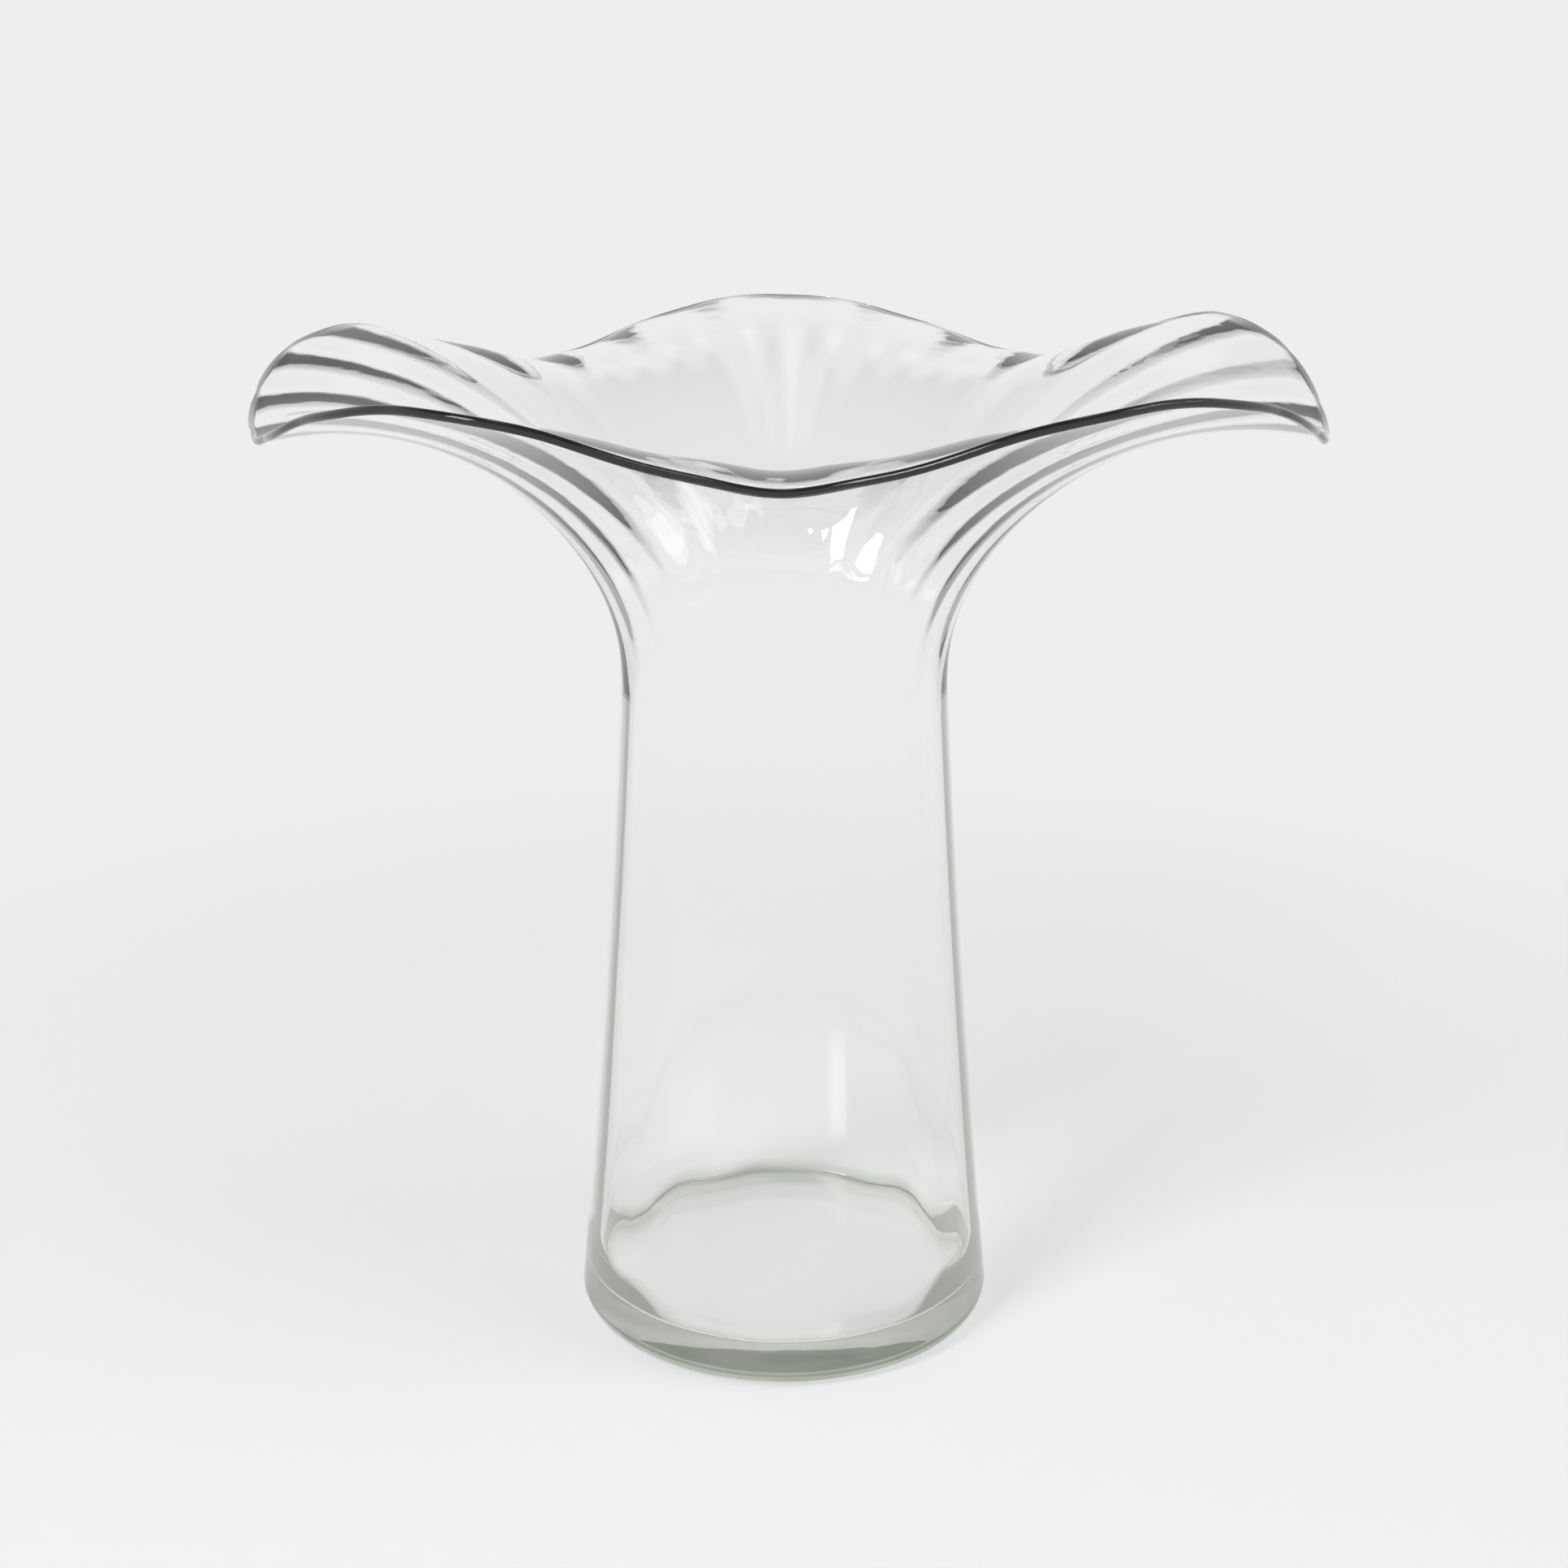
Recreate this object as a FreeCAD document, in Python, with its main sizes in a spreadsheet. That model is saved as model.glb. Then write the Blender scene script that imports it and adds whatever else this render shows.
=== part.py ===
# Fan vase of clear glass: a thick base, a tapering fluted wall, a ribbed flare pulled into five ruffles and a
# rounded lip.
# Millimetres, +Z up. The origin is the centre of the base on the surface that the vase stands on.
# The front of the vase faces -Y, and azimuths are counted from the front towards +X.
import FreeCAD, Part
import Sketcher
import math
import os

# Driving sizes: alias, value and what it is

SIZES = [
    ("foot_radius", 43.6, "outer radius of the glass at the cavity floor"),
    ("heel_radius", 4.0, "rounding between the underside and the wall"),
    ("floor_height", 8.0, "height of the cavity floor, the thickness of the base"),
    ("neck_radius", 33.6, "outer radius of the neck, where the flare begins"),
    ("neck_height", 134.0, "height of the neck"),
    ("wall_bow", 0.65, "how far the tapering wall bows inward from a straight line"),
    ("wall_low", 3.2, "wall thickness at the cavity floor, without the corner"),
    ("wall_neck", 2.6, "wall thickness at the neck"),
    ("wall_rim", 1.9, "thickness of the flare at its edge"),
    ("corner_reach", 4.4, "extra thickness in the corner between floor and wall"),
    ("corner_height", 7.0, "height of that corner"),
    ("rim_reach", 104.0, "mean radius of the rim"),
    ("rim_height", 199.5, "mean height of the rim"),
    ("ruffle_reach", 10.0, "how far a ruffle swings out and in"),
    ("ruffle_lift", 8.0, "how far a ruffle swings up and down"),
    ("lip_radius", 1.2, "radius of the rounded lip"),
    ("flute_depth_low", 0.25, "half depth of the flutes at the cavity floor"),
    ("flute_depth_neck", 0.12, "half depth of the flutes at the neck"),
    ("rib_depth", 0.45, "half depth of the ribs inside the flare, where it is as wide as the mean rim"),
]

# Counts, angles and shares

FLUTES = 13
RIBS_PER_FLUTE = 2
RIB_PHASE_DEG = 2.4
RIB_SWIRL_DEG = 4.0
LOBE_SLOPE_DEG = 15.0
NECK_PULL_SHARE = 0.17
RIM_PULL_SHARE = 0.44
RIB_START_SHARE = 0.4

# The ten turning points of the rim, hand pulled and so uneven: azimuth in degrees, then how far each swings
# out and up as shares of the ruffle's reach and lift. Dips and crests take turns, from the front dip on.
RIM_TURN_SHARES = [
    (0.0, -1.00, -0.65),
    (32.0, 0.95, 1.10),
    (79.0, 0.00, -1.00),
    (120.0, 0.40, 0.60),
    (143.0, -0.70, -0.95),
    (181.0, 1.00, 0.25),
    (218.0, -1.05, -1.00),
    (243.0, 0.25, 0.35),
    (285.0, -0.20, -0.90),
    (329.5, 0.75, 0.95),
]

# How finely the free surfaces are laid out: points round each ring, faces round each band, bands between the
# rings, how much closer the flare's bands lie towards the rim, and the flats that round the heel
STEPS_PER_RIB = 6
SECTORS = 3
BANDS_IN_CORNER = 3
BANDS_IN_WALL = 10
BANDS_IN_FLARE = 24
FLARE_CROWDING = 1.3
BANDS_IN_LIP = 4
HEEL_FLAT_COUNT = 4

# Edges closer than this are sewn together
SEWING_GAP = 0.001

doc = FreeCAD.newDocument("fan_vase")
sheet = doc.addObject("Spreadsheet::Sheet", "sizes")
for row, (alias, value, meaning) in enumerate(SIZES, start=1):
    sheet.set("A%d" % row, meaning)
    sheet.set("B%d" % row, str(value))
    sheet.setAlias("B%d" % row, alias)
doc.recompute()


def size(alias):
    """One driving size, read from the sheet."""
    return float(sheet.get(alias))


# The wall's outer profile is one parabola from the cavity floor to the neck, bowed inward. The base's side
# carries it on in a straight line, tangent to it, down to the heel.

WALL_RISE = "(sizes.neck_height - sizes.floor_height)"
FOOT_LEAN = "atan((sizes.foot_radius - sizes.neck_radius + 4 * sizes.wall_bow) / %s)" % WALL_RISE


def wall_share(height):
    """Share of the way from the cavity floor (0) to the neck (1)."""
    return (height - size("floor_height")) / (size("neck_height") - size("floor_height"))


def outer_radius(height):
    """Outer radius of the tapering wall at a height."""
    share = wall_share(height)
    return blend(size("foot_radius"), size("neck_radius"), share) - 4 * size("wall_bow") * share * (1 - share)


def foot_lean():
    """Angle by which the wall leans inward at the cavity floor."""
    run = size("foot_radius") - size("neck_radius") + 4 * size("wall_bow")
    return math.atan(run / (size("neck_height") - size("floor_height")))


def neck_lean():
    """Direction (radius, height) in which the wall arrives at the neck."""
    run = size("neck_radius") - size("foot_radius") + 4 * size("wall_bow")
    rise = size("neck_height") - size("floor_height")
    length = math.hypot(run, rise)
    return run / length, rise / length


# Flutes and ribs: waves of the inner surface, positive where the glass is thicker


def ease(share):
    """Smooth step from 0 to 1 that starts and ends level."""
    share = min(max(share, 0.0), 1.0)
    return (1 - math.cos(math.pi * share)) / 2


def blend(start, end, share):
    return start + (end - start) * share


def flute_wave(azimuth):
    return math.cos(FLUTES * (azimuth - math.radians(RIB_PHASE_DEG)))


def rib_wave(azimuth, along):
    """Ribs of the flare, which swirl a little on their way from the neck (0) to the rim (1)."""
    phase = math.radians(RIB_PHASE_DEG + RIB_SWIRL_DEG * along)
    return math.cos(FLUTES * RIBS_PER_FLUTE * (azimuth - phase))


def inner_radius(azimuth, height):
    """Radius of the cavity at an azimuth and height, from the floor to the neck."""
    along = wall_share(height)
    wall = blend(size("wall_low"), size("wall_neck"), along)
    flute = blend(size("flute_depth_low"), size("flute_depth_neck"), along)
    above = (height - size("floor_height")) / size("corner_height")
    corner = size("corner_reach") * max(1 - above, 0.0) ** 2
    return outer_radius(height) - wall - corner - flute * flute_wave(azimuth)


# The flare: every meridian is one curve from the leaning neck to the rim. It leaves the neck without a bend,
# because its first three poles lie on the neck's own tangent.


def rim_swing(azimuth):
    """Share of the ruffle's reach and of its lift, easing from one turning point to the next."""
    degrees = math.degrees(azimuth) % 360
    turns = RIM_TURN_SHARES + [(RIM_TURN_SHARES[0][0] + 360,) + RIM_TURN_SHARES[0][1:]]
    for (start, reach_a, lift_a), (end, reach_b, lift_b) in zip(turns, turns[1:]):
        if start <= degrees <= end:
            share = ease((degrees - start) / (end - start))
            return blend(reach_a, reach_b, share), blend(lift_a, lift_b, share)


def shares_of_poles(count, along):
    """Share that each pole has in the point of a curve at a share of its way."""
    order = count - 1
    return [math.comb(order, i) * (1 - along) ** (order - i) * along ** i for i in range(count)]


def flare_meridian(azimuth, along):
    """Outer surface of the flare: radius, height and the unit normal towards the inside."""
    reach, lift = rim_swing(azimuth)
    slope = math.radians(LOBE_SLOPE_DEG) * lift
    neck = (size("neck_radius"), size("neck_height"))
    rim = (size("rim_reach") + size("ruffle_reach") * reach, size("rim_height") + size("ruffle_lift") * lift)
    span = math.hypot(rim[0] - neck[0], rim[1] - neck[1])
    lean = neck_lean()
    pull_neck = NECK_PULL_SHARE * span
    pull_rim = RIM_PULL_SHARE * span
    poles = [
        neck,
        (neck[0] + pull_neck * lean[0], neck[1] + pull_neck * lean[1]),
        (neck[0] + 2 * pull_neck * lean[0], neck[1] + 2 * pull_neck * lean[1]),
        (rim[0] - pull_rim * math.cos(slope), rim[1] - pull_rim * math.sin(slope)),
        rim,
    ]
    weights = shares_of_poles(len(poles), along)
    point = [sum(w * p[i] for w, p in zip(weights, poles)) for i in (0, 1)]
    slopes = shares_of_poles(len(poles) - 1, along)
    tangent = [sum(w * (q[i] - p[i]) for w, p, q in zip(slopes, poles, poles[1:])) for i in (0, 1)]
    length = math.hypot(tangent[0], tangent[1])
    return point[0], point[1], -tangent[1] / length, tangent[0] / length


def flare_thickness(azimuth, along):
    """Glass between the flare's two surfaces. The ribs rise above the neck and deepen as the flare widens."""
    wall = blend(size("wall_neck"), size("wall_rim"), along)
    started = ease(along / RIB_START_SHARE)
    width_share = flare_meridian(azimuth, along)[0] / size("rim_reach")
    rib = size("rib_depth") * width_share * started
    flute = size("flute_depth_neck") * (1 - started)
    return wall + flute * flute_wave(azimuth) + rib * rib_wave(azimuth, along)


def place(azimuth, radius, height):
    return FreeCAD.Vector(radius * math.sin(azimuth), -radius * math.cos(azimuth), height)


def flare_outside(azimuth, along):
    radius, height, _, _ = flare_meridian(azimuth, along)
    return place(azimuth, radius, height)


def flare_inside(azimuth, along):
    """Inner surface: the outer one moved in by the thickness, and level with the neck where it begins."""
    radius, height, in_r, in_z = flare_meridian(azimuth, along)
    thickness = flare_thickness(azimuth, along)
    level = ease(along / RIB_START_SHARE)
    in_r = blend(-1.0, in_r, level)
    in_z = blend(0.0, in_z, level)
    return place(azimuth, radius + in_r * thickness, height + in_z * thickness)


def lip_point(azimuth, turn):
    """The lip's round: a circle about the middle of the flare's edge, from outside (0) to inside (1)."""
    radius, height, in_r, in_z = flare_meridian(azimuth, 1.0)
    half = flare_thickness(azimuth, 1.0) / 2
    middle = (radius + in_r * half, height + in_z * half)
    cover = math.asin(min(half / size("lip_radius"), 1.0))
    sweep = blend(-math.pi + cover, math.pi - cover, turn)
    across = math.sin(sweep)
    beyond = math.cos(sweep) + math.cos(cover)
    outward = (in_z, -in_r)
    r = middle[0] + size("lip_radius") * (in_r * across + outward[0] * beyond)
    z = middle[1] + size("lip_radius") * (in_z * across + outward[1] * beyond)
    return place(azimuth, r, z)


# Rings, lofted walls and solids


def ring(point_at, station):
    """Edges of a closed smooth curve through the points of one station, split into equal sectors."""
    count = FLUTES * RIBS_PER_FLUTE * STEPS_PER_RIB
    azimuths = [2 * math.pi * i / count for i in range(count + 1)]
    points = [point_at(azimuth, station) for azimuth in azimuths[:-1]]
    curve = Part.BSplineCurve()
    curve.interpolate(Points=points, PeriodicFlag=True, Parameters=azimuths)
    step = count // SECTORS
    edges = []
    for start in range(0, count, step):
        piece = curve.copy()
        piece.segment(azimuths[start], azimuths[start + step])
        edges.append(piece.toShape())
    return edges


def loft(point_at, stations):
    """Faces of ruled bands through the rings of point_at(azimuth, station)."""
    rings = [ring(point_at, station) for station in stations]
    faces = []
    for low, high in zip(rings, rings[1:]):
        faces += [Part.makeRuledSurface(*pair) for pair in zip(low, high)]
    return faces


def flat_ring(outside, inside, station):
    """Flat face between the outer and the inner ring of one station."""
    wires = [Part.Wire(ring(point_at, station)) for point_at in (outside, inside)]
    return Part.makeFace(wires, "Part::FaceMakerBullseye")


def solid_of(faces):
    """Closed solid sewn from faces that share their edges."""
    skin = Part.makeCompound(faces)
    skin.sewShape(SEWING_GAP)
    solid = Part.Solid(skin.Shells[0])
    if solid.Volume < 0:
        solid.reverse()
    return solid


def even(bands, start=0.0, end=1.0):
    """Evenly spaced stations from start to end."""
    return [blend(start, end, i / bands) for i in range(bands + 1)]


def feature(label, shape):
    """A document object that holds a shape made from the sheet's sizes."""
    item = doc.addObject("Part::Feature", label)
    item.Label = label
    item.Shape = shape
    item.Placement = FreeCAD.Placement()
    return item


# Revolved pieces: a sketch in the XZ plane, turned about the vase's axis

ORIGIN = (-1, 1)
X_AXIS_INDEX = -1
Y_AXIS_INDEX = -2
START_INDEX = 1
END_INDEX = 2


def at(radius, height):
    return FreeCAD.Vector(radius, height, 0)


def line(sketch, start, end):
    return sketch.addGeometry(Part.LineSegment(at(*start), at(*end)))


def arc(sketch, centre, radius, start, end):
    """Arc that runs counter-clockwise from the direction of start to the direction of end."""
    from_angle = math.atan2(start[1] - centre[1], start[0] - centre[0])
    to_angle = math.atan2(end[1] - centre[1], end[0] - centre[0]) % (2 * math.pi)
    circle = Part.Circle(at(*centre), FreeCAD.Vector(0, 0, 1), radius)
    return sketch.addGeometry(Part.ArcOfCircle(circle, from_angle, to_angle))


def join(sketch, *corners):
    """Joins the named ends of neighbouring edges."""
    for first, first_end, second, second_end in corners:
        sketch.addConstraint(Sketcher.Constraint("Coincident", first, first_end, second, second_end))


def flats(sketch, curve, count):
    """Replaces an arc by equal flats with their corners on it."""
    shape = sketch.Geometry[curve]
    corners = [shape.value(angle) for angle in even(count, shape.FirstParameter, shape.LastParameter)]
    sketch.toggleConstruction(curve)
    chain = [sketch.addGeometry(Part.LineSegment(a, b)) for a, b in zip(corners, corners[1:])]
    join(sketch, (curve, START_INDEX, chain[0], START_INDEX), (curve, END_INDEX, chain[-1], END_INDEX))
    for before, after in zip(chain, chain[1:]):
        join(sketch, (before, END_INDEX, after, START_INDEX))
        sketch.addConstraint(Sketcher.Constraint("PointOnObject", after, START_INDEX, curve))
        sketch.addConstraint(Sketcher.Constraint("Equal", before, after))


def bind(sketch, expression, *constraint):
    """Adds a dimension whose value follows the sheet."""
    index = sketch.addConstraint(Sketcher.Constraint(*constraint))
    sketch.setExpression("Constraints[%d]" % index, expression)


def revolved_body(label, draw):
    """A body whose profile is drawn by draw(sketch) and turned about the axis."""
    body = doc.addObject("PartDesign::Body", label)
    body.Label = label
    sketch = body.newObject("Sketcher::SketchObject", label + "_profile")
    planes = {plane.Role: plane for plane in body.Origin.OriginFeatures}
    sketch.AttachmentSupport = [(planes["XZ_Plane"], "")]
    sketch.MapMode = "FlatFace"
    draw(sketch)
    turned = body.newObject("PartDesign::Revolution", label + "_turned")
    turned.Profile = sketch
    turned.ReferenceAxis = (sketch, ["V_Axis"])
    turned.Angle = 360
    return body


# Thick base: a flat underside, a round heel and a side that leans with the wall


def draw_base(sketch):
    foot = size("foot_radius")
    floor = size("floor_height")
    heel = size("heel_radius")
    lean = foot_lean()
    heel_centre = (foot + (floor - heel) * math.tan(lean) - heel / math.cos(lean), heel)
    side_low = (heel_centre[0] + heel * math.cos(lean), heel + heel * math.sin(lean))

    axis = line(sketch, (0, floor), (0, 0))
    flat = line(sketch, (0, 0), (heel_centre[0], 0))
    rounding = arc(sketch, heel_centre, heel, (heel_centre[0], 0), side_low)
    side = line(sketch, side_low, (foot, floor))
    top = line(sketch, (foot, floor), (0, floor))

    join(sketch, (axis, END_INDEX, *ORIGIN), (flat, START_INDEX, *ORIGIN))
    join(sketch, (side, END_INDEX, top, START_INDEX), (top, END_INDEX, axis, START_INDEX))
    sketch.addConstraint(Sketcher.Constraint("PointOnObject", axis, START_INDEX, Y_AXIS_INDEX))
    sketch.addConstraint(Sketcher.Constraint("PointOnObject", flat, END_INDEX, X_AXIS_INDEX))
    sketch.addConstraint(Sketcher.Constraint("Horizontal", top))
    sketch.addConstraint(Sketcher.Constraint("Tangent", flat, END_INDEX, rounding, START_INDEX))
    sketch.addConstraint(Sketcher.Constraint("Tangent", rounding, END_INDEX, side, START_INDEX))
    bind(sketch, "sizes.heel_radius", "Radius", rounding, heel)
    bind(sketch, "sizes.foot_radius", "DistanceX", *ORIGIN, top, START_INDEX, foot)
    bind(sketch, "sizes.floor_height", "DistanceY", *ORIGIN, top, START_INDEX, floor)
    bind(sketch, "acos(0) + " + FOOT_LEAN, "Angle", side, math.pi / 2 + lean)
    flats(sketch, rounding, HEEL_FLAT_COUNT)


thick_base = revolved_body("thick_base", draw_base)

# Tapered wall: lofts outside and inside, and a flat ring at either end


def wall_outside(azimuth, height):
    return place(azimuth, outer_radius(height), height)


def wall_inside(azimuth, height):
    return place(azimuth, inner_radius(azimuth, height), height)


floor_height = size("floor_height")
corner_top = floor_height + size("corner_height")
neck_height = size("neck_height")
upper = even(BANDS_IN_WALL, corner_top, neck_height)
outer_wall = loft(wall_outside, [floor_height] + upper)
inner_wall = loft(wall_inside, even(BANDS_IN_CORNER, floor_height, corner_top) + upper[1:])
rings = [flat_ring(wall_outside, wall_inside, height) for height in (floor_height, neck_height)]
tapered_wall = feature("tapered_wall", solid_of(outer_wall + inner_wall + rings))

# Ruffled flare: lofts outside and inside, the neck's flat ring below and a ruled strip along the edge


def edge_point(azimuth, share):
    """Straight across the edge of the flare, from its outside (0) to its inside (1)."""
    outside = flare_outside(azimuth, 1.0)
    inside = flare_inside(azimuth, 1.0)
    return outside + (inside - outside) * share


stations = [1 - (1 - share) ** FLARE_CROWDING for share in even(BANDS_IN_FLARE)]
skins = loft(flare_outside, stations) + loft(flare_inside, stations)
neck_ring = flat_ring(flare_outside, flare_inside, 0.0)
edge_strip = loft(edge_point, even(1))
ruffled_flare = feature("ruffled_flare", solid_of(skins + edge_strip + [neck_ring]))

# Fire polished lip: a bead seated on that strip

bead = loft(lip_point, even(BANDS_IN_LIP))
fire_polished_lip = feature("fire_polished_lip", solid_of(bead + edge_strip))

doc.recompute()

# Every object and shape is sound before anything is written

PIECES = [thick_base, tapered_wall, ruffled_flare, fire_polished_lip]
for item in doc.Objects:
    if "Invalid" in item.State or "Error" in item.State:
        raise RuntimeError("%s failed: %s" % (item.Label, item.State))
for piece in PIECES:
    shape = piece.Shape
    if shape.isNull() or not shape.isValid() or len(shape.Solids) != 1:
        raise RuntimeError("%s is not one valid solid" % piece.Label)
    print("%-20s volume %.1f mm3, faces %d" % (piece.Label, shape.Volume, len(shape.Faces)))

os.makedirs("parts", exist_ok=True)
for piece in PIECES:
    piece.Shape.exportStep("parts/%s.step" % piece.Label)
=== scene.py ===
# Fan vase of clear, hand-pulled glass on a plain pale floor.
# The four zones of the glass share one skin. Where two of them meet there is no face between them, so light
# passes through the vase as through one piece of glass.
import math
import bpy
import numpy as np
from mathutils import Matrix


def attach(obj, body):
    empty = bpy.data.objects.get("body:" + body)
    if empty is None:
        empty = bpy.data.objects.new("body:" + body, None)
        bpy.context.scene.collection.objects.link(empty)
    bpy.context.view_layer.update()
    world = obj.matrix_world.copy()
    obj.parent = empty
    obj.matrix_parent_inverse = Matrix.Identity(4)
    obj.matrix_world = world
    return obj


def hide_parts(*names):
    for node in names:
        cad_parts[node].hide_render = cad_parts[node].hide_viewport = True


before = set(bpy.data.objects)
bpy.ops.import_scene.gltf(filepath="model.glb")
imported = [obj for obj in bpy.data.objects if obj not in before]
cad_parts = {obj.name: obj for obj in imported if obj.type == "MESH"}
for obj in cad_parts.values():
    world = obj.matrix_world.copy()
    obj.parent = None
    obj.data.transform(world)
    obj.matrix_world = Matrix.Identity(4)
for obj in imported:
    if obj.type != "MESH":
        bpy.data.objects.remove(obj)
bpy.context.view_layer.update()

MM = 0.001

# Camera: at the photograph's place, looking down on the vase from the front

CAMERA_PLACE = (0.0, -0.4881, 0.2705)
CAMERA_PITCH = math.radians(17.6)
CAMERA_FOCUS_PX = 3050
FRAME_PX = 1932
SENSOR_WIDTH = 36
NEAREST = 0.01
FARTHEST = 50

lens = bpy.data.cameras.new("front_camera")
lens.sensor_width = SENSOR_WIDTH
lens.lens = CAMERA_FOCUS_PX / FRAME_PX * SENSOR_WIDTH
lens.clip_start = NEAREST
lens.clip_end = FARTHEST
camera = bpy.data.objects.new("front_camera", lens)
camera.location = CAMERA_PLACE
camera.rotation_euler = (math.pi / 2 - CAMERA_PITCH, 0, 0)
bpy.context.scene.collection.objects.link(camera)
bpy.context.scene.camera = camera
bpy.context.scene.view_settings.view_transform = "Standard"

# Sizes of the vase in millimetres. The outside is as in its construction. The rim, the bead, the flutes,
# the ribs and the inner corner are slimmer than there, because their dark lines came out too wide.

FOOT_RADIUS = 43.6
HEEL_RADIUS = 4.0
FLOOR_HEIGHT = 8.0
NECK_RADIUS = 33.6
NECK_HEIGHT = 134.0
WALL_BOW = 0.65
WALL_LOW = 3.2
WALL_NECK = 2.6
WALL_RIM = 1.3
SHOULDER_REACH = 1.9
SHOULDER_HEIGHT = 11.0
CORNER_REACH = 1.0
CORNER_HEIGHT = 1.3
RIM_REACH = 104.0
RIM_HEIGHT = 199.5
RUFFLE_REACH = 10.0
RUFFLE_LIFT = 8.0
LIP_RADIUS = 0.82
FLUTE_DEPTH_LOW = 0.12
FLUTE_DEPTH_NECK = 0.10
RIB_DEPTH = 0.30
FLUTES = 13
RIBS = 26
RIB_PHASE = math.radians(2.4)
RIB_SWIRL = math.radians(4.0)
LOBE_SLOPE = math.radians(15)
NECK_PULL = 0.17
RIM_PULL = 0.44
RIB_START = 0.4

# Turning points of the rim: azimuth in degrees, share of the reach outward, share of the lift upward
RIM_TURNS = [
    (0.0, -1.00, -0.65),
    (32.0, 0.95, 1.10),
    (79.0, 0.00, -1.00),
    (120.0, 0.40, 0.60),
    (143.0, -0.70, -0.95),
    (181.0, 1.00, 0.25),
    (218.0, -1.05, -1.00),
    (243.0, 0.25, 0.35),
    (285.0, -0.20, -0.90),
    (329.5, 0.75, 0.95),
]

# How finely the skin is laid out: steps round the vase, and bands along each stretch of its section
STEPS_PER_RIB = 26
STEPS_ROUND = RIBS * STEPS_PER_RIB
UNDERSIDE_BANDS = 6
HEEL_BANDS = 20
BASE_SIDE_BANDS = 4
OUTER_WALL_BANDS = 40
FLARE_BANDS = 60
LIP_BANDS = 16
INNER_WALL_BANDS = 32
SHOULDER_BANDS = 16
CORNER_BANDS = 12
FLOOR_BANDS = 8
AZIMUTHS = np.arange(STEPS_ROUND) * 2 * math.pi / STEPS_ROUND

# Radius of the smallest ring of the underside and of the cavity floor, as a share of their own
MIDDLE_SHARE = 0.02


def ease(share):
    share = np.clip(share, 0, 1)
    return (1 - np.cos(math.pi * share)) / 2


def mix(start, end, share):
    return start + (end - start) * share


# The skin's curves: the radius of a ring of points, or its radius and height


def outer_wall(height):
    """A straight taper, bowed inward by WALL_BOW halfway up."""
    share = (height - FLOOR_HEIGHT) / (NECK_HEIGHT - FLOOR_HEIGHT)
    return mix(FOOT_RADIUS, NECK_RADIUS, share) - 4 * WALL_BOW * share * (1 - share)


def inner_wall(height):
    """Parallel to the outside, but fluted and thicker towards the cavity floor."""
    share = (height - FLOOR_HEIGHT) / (NECK_HEIGHT - FLOOR_HEIGHT)
    flute = mix(FLUTE_DEPTH_LOW, FLUTE_DEPTH_NECK, share) * np.cos(FLUTES * (AZIMUTHS - RIB_PHASE))
    shoulder = SHOULDER_REACH * max(1 - (height - FLOOR_HEIGHT) / SHOULDER_HEIGHT, 0) ** 2
    corner = CORNER_REACH * max(1 - (height - FLOOR_HEIGHT) / CORNER_HEIGHT, 0) ** 2
    return outer_wall(height) - mix(WALL_LOW, WALL_NECK, share) - shoulder - corner - flute


def rim_swing():
    """How far the rim swings out and up at each azimuth, easing from turning point to turning point."""
    degrees = np.degrees(AZIMUTHS)
    reach, lift = np.zeros(STEPS_ROUND), np.zeros(STEPS_ROUND)
    turns = RIM_TURNS + [(360.0, *RIM_TURNS[0][1:])]
    for (start, reach_a, lift_a), (end, reach_b, lift_b) in zip(turns, turns[1:]):
        here = (degrees >= start) & (degrees < end)
        share = ease((degrees[here] - start) / (end - start))
        reach[here] = mix(reach_a, reach_b, share)
        lift[here] = mix(lift_a, lift_b, share)
    return reach, lift


REACH, LIFT = rim_swing()


def pole_shares(count, along):
    """How much each pole of a smooth curve counts at a place along it."""
    return [math.comb(count - 1, i) * (1 - along) ** (count - 1 - i) * along ** i for i in range(count)]


def flare_curve(along):
    """Outer surface of the flare: radius, height and the unit normal towards the inside."""
    slope = LOBE_SLOPE * LIFT
    rim_r = RIM_REACH + RUFFLE_REACH * REACH
    rim_z = RIM_HEIGHT + RUFFLE_LIFT * LIFT
    span = np.hypot(rim_r - NECK_RADIUS, rim_z - NECK_HEIGHT)
    run = NECK_RADIUS - FOOT_RADIUS + 4 * WALL_BOW
    rise = NECK_HEIGHT - FLOOR_HEIGHT
    lean_r = run / math.hypot(run, rise)
    lean_z = rise / math.hypot(run, rise)
    neck_pull = NECK_PULL * span
    rim_pull = RIM_PULL * span
    start = [(NECK_RADIUS + neck_pull * n * lean_r, NECK_HEIGHT + neck_pull * n * lean_z) for n in range(3)]
    end = [(rim_r - rim_pull * np.cos(slope), rim_z - rim_pull * np.sin(slope)), (rim_r, rim_z)]
    poles = start + end
    shares = pole_shares(len(poles), along)
    r, z = (sum(share * pole[i] for share, pole in zip(shares, poles)) for i in (0, 1))
    steps = [(q[0] - p[0], q[1] - p[1]) for p, q in zip(poles, poles[1:])]
    shares = pole_shares(len(steps), along)
    step_r, step_z = (sum(share * step[i] for share, step in zip(shares, steps)) for i in (0, 1))
    length = np.hypot(step_r, step_z)
    return r, z, -step_z / length, step_r / length


def flare_thickness(along):
    """The ribs rise above the neck, deepen as the flare widens and swirl a little on the way to the rim."""
    started = ease(along / RIB_START)
    turned = RIBS * (AZIMUTHS - RIB_PHASE - RIB_SWIRL * along)
    rib = RIB_DEPTH * flare_curve(along)[0] / RIM_REACH * started * np.cos(turned)
    flute = FLUTE_DEPTH_NECK * (1 - started) * np.cos(FLUTES * (AZIMUTHS - RIB_PHASE))
    return mix(WALL_NECK, WALL_RIM, along) + flute + rib


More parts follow.
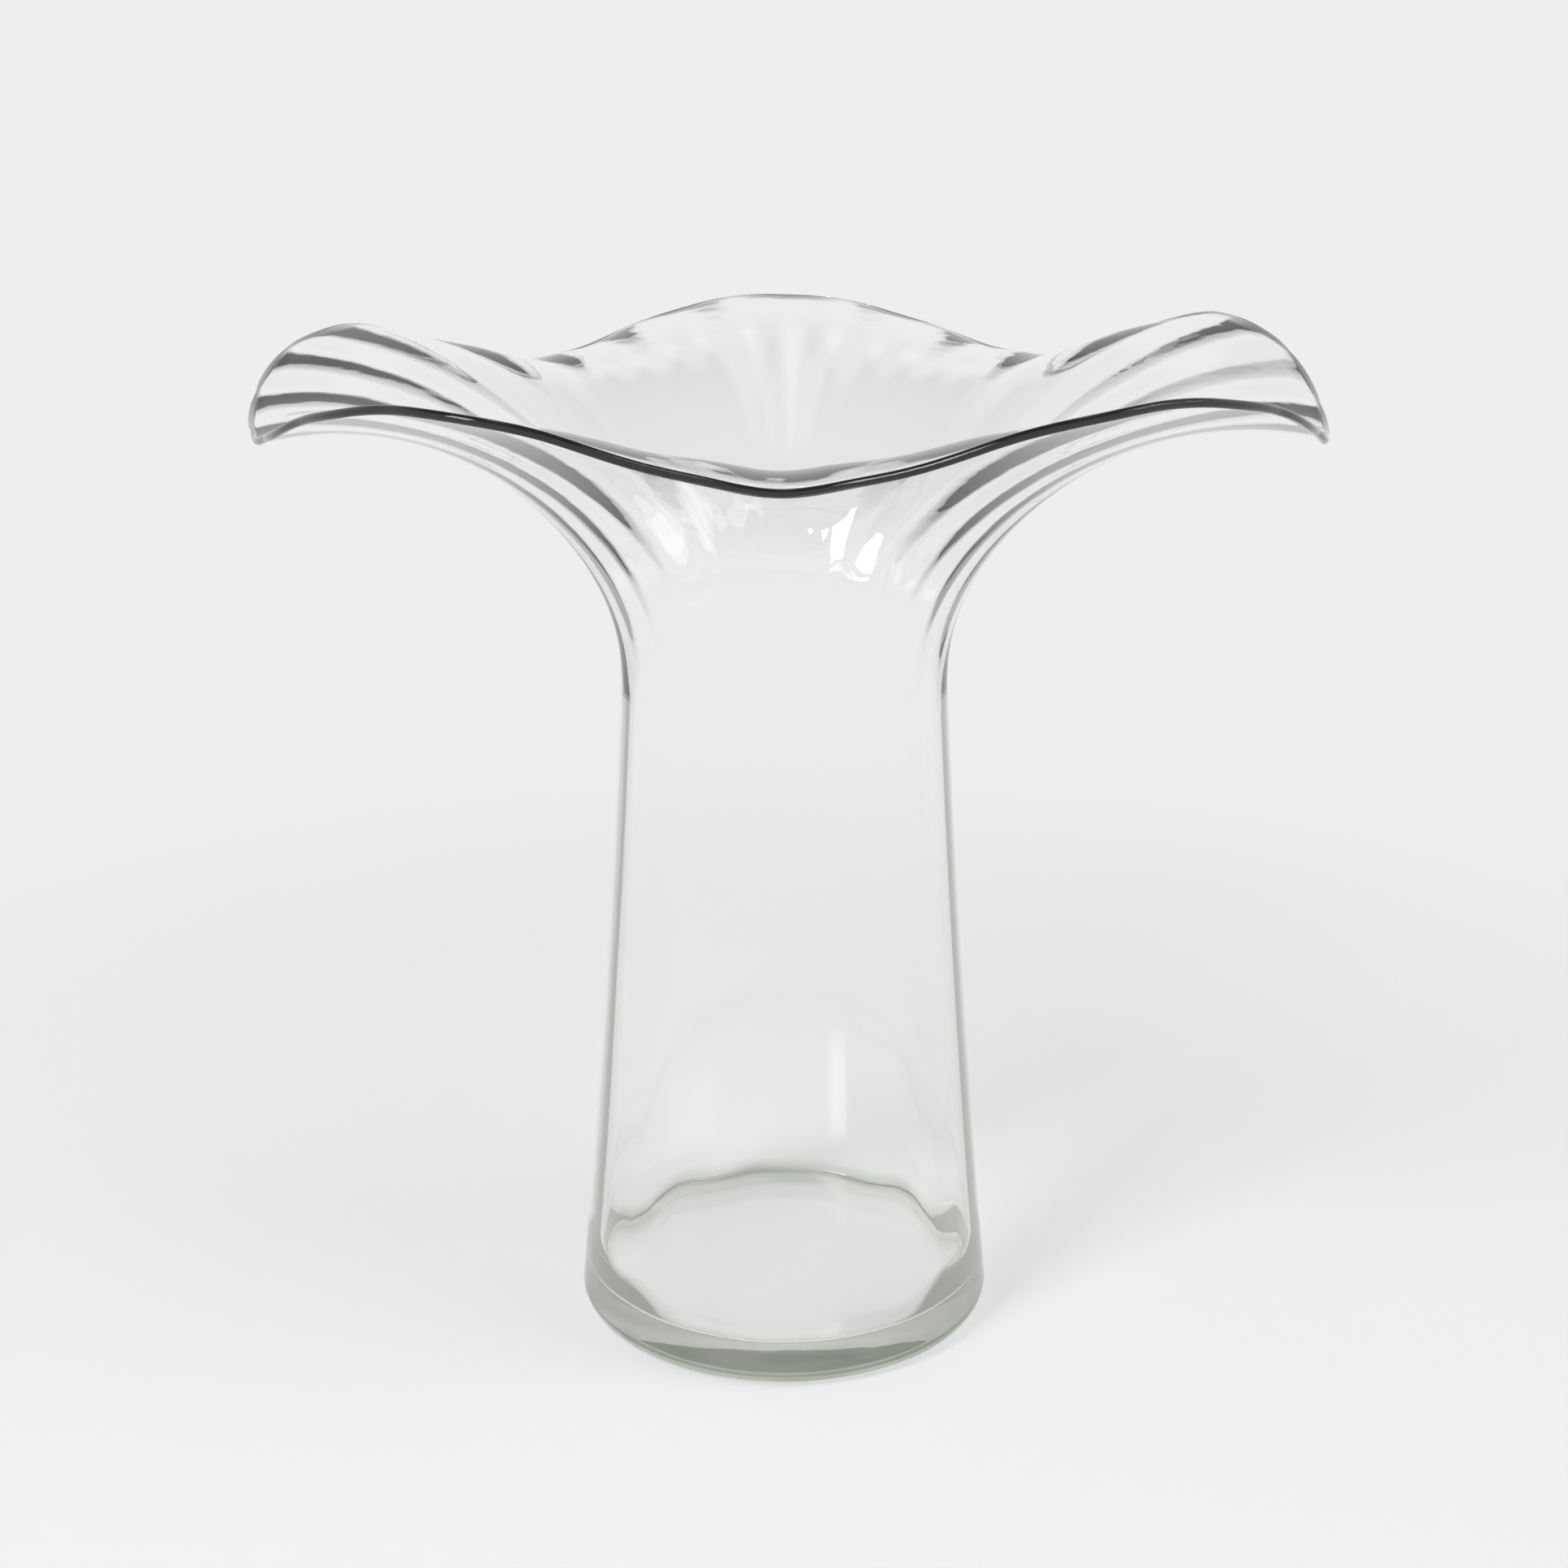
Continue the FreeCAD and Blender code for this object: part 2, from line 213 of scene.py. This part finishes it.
def flare_inside(along):
    """The thickness is measured level at the neck, as in the wall, and square to the glass further up."""
    r, z, in_r, in_z = flare_curve(along)
    thickness = flare_thickness(along)
    level = ease(along / RIB_START)
    return r + mix(-1, in_r, level) * thickness, z + mix(0, in_z, level) * thickness


def lip_round(turn):
    """The bead: a circle round the middle of the flare's edge, from its outside (0) to its inside (1)."""
    r, z, in_r, in_z = flare_curve(1.0)
    half = flare_thickness(1.0) / 2
    cover = np.arcsin(np.minimum(half / LIP_RADIUS, 1))
    sweep = mix(-math.pi + cover, math.pi - cover, turn)
    beyond = np.cos(sweep) + np.cos(cover)
    lip_r = r + in_r * half + LIP_RADIUS * (in_r * np.sin(sweep) + in_z * beyond)
    lip_z = z + in_z * half + LIP_RADIUS * (in_z * np.sin(sweep) - in_r * beyond)
    return lip_r, lip_z


def base_side(share):
    """The underside from its middle (0) to the heel (1), the heel (2), and up to the cavity floor (3)."""
    lean = math.atan((FOOT_RADIUS - NECK_RADIUS + 4 * WALL_BOW) / (NECK_HEIGHT - FLOOR_HEIGHT))
    centre = FOOT_RADIUS + (FLOOR_HEIGHT - HEEL_RADIUS) * math.tan(lean) - HEEL_RADIUS / math.cos(lean)
    if share < 1:
        return centre * share, 0.0
    if share < 2:
        turn = mix(-math.pi / 2, lean, share - 1)
        return centre + HEEL_RADIUS * math.cos(turn), HEEL_RADIUS * (1 + math.sin(turn))
    low = (centre + HEEL_RADIUS * math.cos(lean), HEEL_RADIUS * (1 + math.sin(lean)))
    return mix(low[0], FOOT_RADIUS, share - 2), mix(low[1], FLOOR_HEIGHT, share - 2)


def even(count, start, end):
    return [mix(start, end, i / count) for i in range(count)]


def ring(r, z):
    """Points of a ring, from the front round to the right."""
    r = np.broadcast_to(r, AZIMUTHS.shape)
    z = np.broadcast_to(z, AZIMUTHS.shape)
    return np.stack((r * np.sin(AZIMUTHS), -r * np.cos(AZIMUTHS), z), axis=1) * MM


def skin_rings():
    """All rings of the skin in order, each with the zone of the band between it and the next ring."""
    shares = even(UNDERSIDE_BANDS, MIDDLE_SHARE, 1) + even(HEEL_BANDS, 1, 2) + even(BASE_SIDE_BANDS, 2, 3)
    heights = even(OUTER_WALL_BANDS, FLOOR_HEIGHT, NECK_HEIGHT)
    shoulder_top = FLOOR_HEIGHT + SHOULDER_HEIGHT
    corner_top = FLOOR_HEIGHT + CORNER_HEIGHT
    levels = even(INNER_WALL_BANDS, NECK_HEIGHT, shoulder_top)
    levels += even(SHOULDER_BANDS, shoulder_top, corner_top)
    levels += even(CORNER_BANDS, corner_top, FLOOR_HEIGHT)
    floor_edge = inner_wall(FLOOR_HEIGHT)
    rings = [("thick_base", ring(*base_side(s))) for s in shares]
    rings += [("tapered_wall", ring(outer_wall(h), h)) for h in heights]
    rings += [("ruffled_flare", ring(*flare_curve(a)[:2])) for a in even(FLARE_BANDS, 0, 1)]
    rings += [("fire_polished_lip", ring(*lip_round(t))) for t in even(LIP_BANDS, 0, 1)]
    rings += [("ruffled_flare", ring(*flare_inside(a))) for a in even(FLARE_BANDS, 1, 0)]
    rings += [("tapered_wall", ring(inner_wall(h), h)) for h in levels]
    for share in even(FLOOR_BANDS, 1, MIDDLE_SHARE) + [MIDDLE_SHARE]:
        rings.append(("thick_base", ring(floor_edge * share, FLOOR_HEIGHT)))
    return rings


def skin():
    """Points of the whole skin, its faces by zone, and one normal for every point."""
    rings = skin_rings()
    points = np.concatenate([ring_points for _, ring_points in rings])
    faces = {}
    this, following = np.arange(STEPS_ROUND), (np.arange(STEPS_ROUND) + 1) % STEPS_ROUND
    for level, (zone, _) in enumerate(rings[:-1]):
        low, high = level * STEPS_ROUND, (level + 1) * STEPS_ROUND
        band = np.stack((this + low, following + low, following + high, this + high), axis=1)
        faces.setdefault(zone, []).append(band)
    faces = {zone: np.concatenate(bands) for zone, bands in faces.items()}
    normals = np.zeros_like(points)
    for zone_faces in faces.values():
        across = points[zone_faces[:, 2]] - points[zone_faces[:, 0]]
        over = points[zone_faces[:, 3]] - points[zone_faces[:, 1]]
        facing = np.cross(across, over)
        for corner in range(4):
            np.add.at(normals, zone_faces[:, corner], facing)
    normals /= np.linalg.norm(normals, axis=1)[:, None]
    return points, faces, normals


def make_piece(name, points, faces, normals, caps):
    """A piece from some faces of the skin, with the whole skin's normals, so that no seam shows."""
    polygons = [list(map(int, face)) for face in faces] + [list(map(int, cap)) for cap in caps]
    used = sorted({corner for polygon in polygons for corner in polygon})
    place = {corner: i for i, corner in enumerate(used)}
    mesh = bpy.data.meshes.new(name)
    mesh.from_pydata(points[used].tolist(), [], [[place[c] for c in polygon] for polygon in polygons])
    mesh.polygons.foreach_set("use_smooth", [True] * len(polygons))
    mesh.normals_split_custom_set_from_vertices(normals[used].tolist())
    mesh.update()
    piece = bpy.data.objects.new(name, mesh)
    bpy.context.scene.collection.objects.link(piece)
    return piece


# Node trees

# The colour sockets of a Mix node, which share their names with its other sockets
FIRST_COLOUR = 6
SECOND_COLOUR = 7
MIXED_COLOUR = 2


class Wire:
    """An output of a node. Arithmetic on it adds Math nodes."""

    def __init__(self, tree, socket):
        self.tree = tree
        self.socket = socket

    def work_out(self, operation, first, second):
        return self.tree.node("Math", {"operation": operation}, {0: first, 1: second})

    def __add__(self, other):
        return self.work_out("ADD", self, other)

    def __mul__(self, other):
        return self.work_out("MULTIPLY", self, other)

    def __sub__(self, other):
        return self.work_out("SUBTRACT", self, other)

    def __rsub__(self, other):
        return self.work_out("SUBTRACT", other, self)

    __radd__ = __add__
    __rmul__ = __mul__


class Tree:
    """The node tree of a finish or of the surroundings."""

    def __init__(self, owner):
        owner.use_nodes = True
        self.nodes = owner.node_tree.nodes
        self.links = owner.node_tree.links
        self.nodes.clear()

    def node(self, kind, settings=None, sockets=None, out=0):
        made = self.nodes.new("ShaderNode" + kind)
        for name, value in (settings or {}).items():
            setattr(made, name, value)
        for name, value in (sockets or {}).items():
            if isinstance(value, Wire):
                self.links.new(value.socket, made.inputs[name])
            else:
                made.inputs[name].default_value = value
        return Wire(self, made.outputs[out]) if made.outputs else made

    def ramp(self, value, span, low=0.0, high=1.0):
        """Eases from low to high while the value crosses the span."""
        ends = {"From Min": span[0], "From Max": span[1], "To Min": low, "To Max": high}
        return self.node("MapRange", {"interpolation_type": "SMOOTHSTEP"}, {"Value": value, **ends})

    def rays(self, kind):
        return self.node("LightPath", out=f"Is {kind} Ray")

    def seen_rays(self):
        """One for the rays by which the camera sees a thing, straight, mirrored or through glass."""
        seen = self.rays("Glossy") + self.rays("Transmission") + self.rays("Camera")
        return self.node("Math", {"operation": "MINIMUM"}, {0: seen, 1: 1.0})

    def tint(self, share, first, second):
        colours = {"Factor": share, FIRST_COLOUR: first, SECOND_COLOUR: second}
        return self.node("Mix", {"data_type": "RGBA"}, colours, out=MIXED_COLOUR)

    def scaled(self, vector, factors):
        return self.node("VectorMath", {"operation": "MULTIPLY"}, {0: vector, 1: factors})

    def length(self, vector):
        return self.node("VectorMath", {"operation": "LENGTH"}, {0: vector}, out="Value")

    def noise(self, place, grain):
        return self.node("TexNoise", sockets={"Vector": place, **grain})


# Glass

CLEAR = (0.985, 0.99, 0.985, 1)
# Painted shade: the clear glass of the bead is coloured dark grey to draw the rim's dark edge line
LIP_PAINTED_SHADE = (0.31, 0.33, 0.305, 1)
THICK = (0.925, 0.93, 0.915, 1)
EDGE_ON = (0.64, 0.665, 0.60, 1)
CORD = (0.37, 0.41, 0.33, 1)
# Painted glow: the glass shines in this colour where light has been mirrored inside it many times, in place
# of trapped light
PAINTED_GLOW_COLOUR = (0.95, 1.0, 0.90, 1)

GLASS_IOR = 1.5
BUMP_HEIGHT = 1.0 * MM
CORD_GRAIN = {"Scale": 38, "Detail": 2.5, "Roughness": 0.5}
CORD_FLATNESS = 5
CORD_SPAN = (0.44, 0.66)
WAVE_GRAIN = {"Scale": 60, "Detail": 2.5, "Roughness": 0.5}
MARK_GRAIN = {"Scale": 160, "Detail": 3, "Roughness": 0.6}
MARK_SPAN = (0.56, 0.78)

# Where the base is looked into from the side: these distances from the middle and heights above the floor
SIDE_SPAN = (36 * MM, 42 * MM)
BASE_TOP_SPAN = (6 * MM, 11 * MM)

# Mirrored bounces between which the glass fades into its painted glow
PAINTED_GLOW_BOUNCES = (2.0, 4.0)

# Share of the lamps' light that goes straight through the glass, and how much less at its edges
LET_THROUGH = 0.96
EDGE_LOSS = 0.55
EDGE_BLEND = 0.35


def glass(name, tone, waviness, stretch, smudge, painted_glow_strength):
    """Clear glass, faintly wavy along the way it was drawn, with the odd handling mark.
    The thick base is greyer, and grey green with darker cords where it is looked into from the side.
    Light that is thrown to and fro inside the glass many times is replaced by a painted glow, whose
    brightness is the last argument."""
    finish = bpy.data.materials.new(name)
    tree = Tree(finish)
    place = tree.node("TexCoord", out="Object")
    height = tree.node("SeparateXYZ", sockets={0: place}, out="Z")
    radius = tree.length(tree.scaled(place, (1, 1, 0)))
    cords = tree.noise(tree.scaled(place, (1, 1, CORD_FLATNESS)), CORD_GRAIN)
    edge_on = tree.tint(tree.ramp(cords, CORD_SPAN), EDGE_ON, CORD)
    deep = tree.tint(tree.ramp(radius, SIDE_SPAN), THICK, edge_on)
    colour = tree.tint(tree.ramp(height, BASE_TOP_SPAN), deep, tone)
    waves = tree.noise(tree.scaled(place, (1, 1, stretch)), WAVE_GRAIN)
    marks = tree.noise(place, MARK_GRAIN)
    roughness = tree.ramp(marks, MARK_SPAN, high=smudge)
    bump = tree.node("Bump", sockets={"Strength": waviness, "Distance": BUMP_HEIGHT, "Height": waves})
    surface = {"Base Color": colour, "Roughness": roughness, "Normal": bump}
    body = tree.node("BsdfPrincipled", sockets={**surface, "Transmission Weight": 1.0, "IOR": GLASS_IOR})
    # Painted light: an emission stands in for light trapped inside the glass
    painted_glow_shader = tree.node("Emission", sockets={"Color": PAINTED_GLOW_COLOUR, "Strength": painted_glow_strength})
    painted_glow_share = tree.ramp(tree.node("LightPath", out="Glossy Depth"), PAINTED_GLOW_BOUNCES)
    body = tree.node("MixShader", sockets={0: painted_glow_share, 1: body, 2: painted_glow_shader})
    through = tree.node("BsdfTransparent", sockets={"Color": (1, 1, 1, 1)})
    lamp_rays = tree.rays("Shadow") + tree.rays("Diffuse")
    edge = tree.node("LayerWeight", sockets={"Blend": EDGE_BLEND}, out="Facing")
    passing = lamp_rays * (LET_THROUGH - EDGE_LOSS * edge)
    shader = tree.node("MixShader", sockets={0: passing, 1: body, 2: through})
    tree.node("OutputMaterial", sockets={"Surface": shader})
    return finish


# The four pieces of the skin, with the caps that close the middle of the underside and of the cavity floor

points, faces, normals = skin()
last_ring = len(points) - STEPS_ROUND
underside_cap = list(range(STEPS_ROUND))[::-1]
floor_cap = list(range(last_ring, len(points)))

# The last figure of each finish is the brightness of its painted glow
PIECES = [
    ("base_of_glass", "thick_base", "base_glass", (underside_cap, floor_cap),
     glass("thick glass of the base", CLEAR, waviness=0.04, stretch=1.0, smudge=0.0, painted_glow_strength=0.34)),
    ("wall_of_glass", "tapered_wall", "wall_glass", (),
     glass("drawn glass of the wall", CLEAR, waviness=0.10, stretch=0.12, smudge=0.03, painted_glow_strength=0.38)),
    ("flare_of_glass", "ruffled_flare", "flare_glass", (),
     glass("pulled glass of the flare", CLEAR, waviness=0.14, stretch=0.6, smudge=0.02, painted_glow_strength=0.03)),
    # The lip's dark tone is painted shade, not the colour of its glass
    ("lip_of_glass", "fire_polished_lip", "lip_glass", (),
     glass("fire polished lip with painted shade", LIP_PAINTED_SHADE, waviness=0.02, stretch=1.0, smudge=0.0, painted_glow_strength=0.0)),
]
for name, node, slot, caps, finish in PIECES:
    piece = make_piece(name, points, faces[node], normals, caps)
    piece.data.materials.append(finish)
    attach(piece, "root")
    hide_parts(node)

# Floor: pale, and fading into the backdrop's tone away from the vase

FLOOR_COLOUR = (0.92, 0.925, 0.925, 1)
BACKDROP_COLOUR = (0.85, 0.855, 0.85, 1)
FLOOR_HALF = 12.0
FLOOR_DROP = 0.0002
FADE_SPAN = (0.12, 0.45)

floor_mesh = bpy.data.meshes.new("floor")
floor_corners = [(x * FLOOR_HALF, y * FLOOR_HALF, 0) for x, y in ((-1, -1), (1, -1), (1, 1), (-1, 1))]
floor_mesh.from_pydata(floor_corners, [], [(0, 1, 2, 3)])
floor = bpy.data.objects.new("floor", floor_mesh)
floor.location.z = -FLOOR_DROP
bpy.context.scene.collection.objects.link(floor)
floor_finish = bpy.data.materials.new("pale floor")
tree = Tree(floor_finish)
distance = tree.length(tree.node("TexCoord", out="Object"))
near = tree.node("BsdfDiffuse", sockets={"Color": FLOOR_COLOUR})
far = tree.node("Emission", sockets={"Color": BACKDROP_COLOUR})
faded = tree.seen_rays() * tree.ramp(distance, FADE_SPAN)
shader = tree.node("MixShader", sockets={0: faded, 1: near, 2: far})
tree.node("OutputMaterial", sockets={"Surface": shader})
floor_mesh.materials.append(floor_finish)

# Surroundings: pale round the horizon and dim overhead, so that the edges of the glass show, with a soft
# glow overhead that the ribs mirror as streaks. Each span is a stretch of a direction's x, y or z.

CEILING_COLOUR = (0.10, 0.105, 0.11, 1)
GLOW_COLOUR = (1, 1, 1, 1)
AMBIENT_COLOUR = (0.55, 0.55, 0.55, 1)
CEILING_SPAN = (0.48, 0.80)
GLOW_SIDE_SPAN = (0.02, 0.12)
GLOW_FRONT_SPAN = (-0.25, 0.10)
GLOW_BACK_SPAN = (0.70, 0.92)

world = bpy.data.worlds.new("studio")
bpy.context.scene.world = world
tree = Tree(world)
direction = tree.node("TexCoord", out="Generated")
x, y, z = (tree.node("SeparateXYZ", sockets={0: direction}, out=axis) for axis in "XYZ")
room = tree.tint(tree.ramp(z, CEILING_SPAN), BACKDROP_COLOUR, CEILING_COLOUR)
across = 1 - tree.ramp(tree.node("Math", {"operation": "ABSOLUTE"}, {0: x}), GLOW_SIDE_SPAN)
glow = across * tree.ramp(y, GLOW_FRONT_SPAN) * (1 - tree.ramp(y, GLOW_BACK_SPAN))
room = tree.tint(glow, room, GLOW_COLOUR)
shown = tree.tint(tree.seen_rays(), AMBIENT_COLOUR, room)
shown = tree.tint(tree.rays("Camera"), shown, BACKDROP_COLOUR)
tree.node("OutputWorld", sockets={"Surface": tree.node("Background", sockets={"Color": shown})})

# Two soft lamps, each aimed at the middle of the vase

LAMP_AIM = (0, 0, 0.1)


def softbox(name, place, size, watts):
    lamp = bpy.data.lights.new(name, "AREA")
    lamp.shape = "RECTANGLE"
    lamp.size, lamp.size_y = size
    lamp.energy = watts
    box = bpy.data.objects.new(name, lamp)
    box.location = place
    aim = np.array(LAMP_AIM) - np.array(place)
    yaw = math.atan2(aim[0], -aim[1])
    box.rotation_euler = (math.acos(-aim[2] / np.linalg.norm(aim)), 0, yaw + math.pi)
    bpy.context.scene.collection.objects.link(box)


softbox("window_light", place=(-0.7, -0.8, 1.0), size=(0.4, 0.6), watts=7.5)
softbox("fill_light", place=(0.9, -0.3, 1.1), size=(0.8, 0.8), watts=4.5)
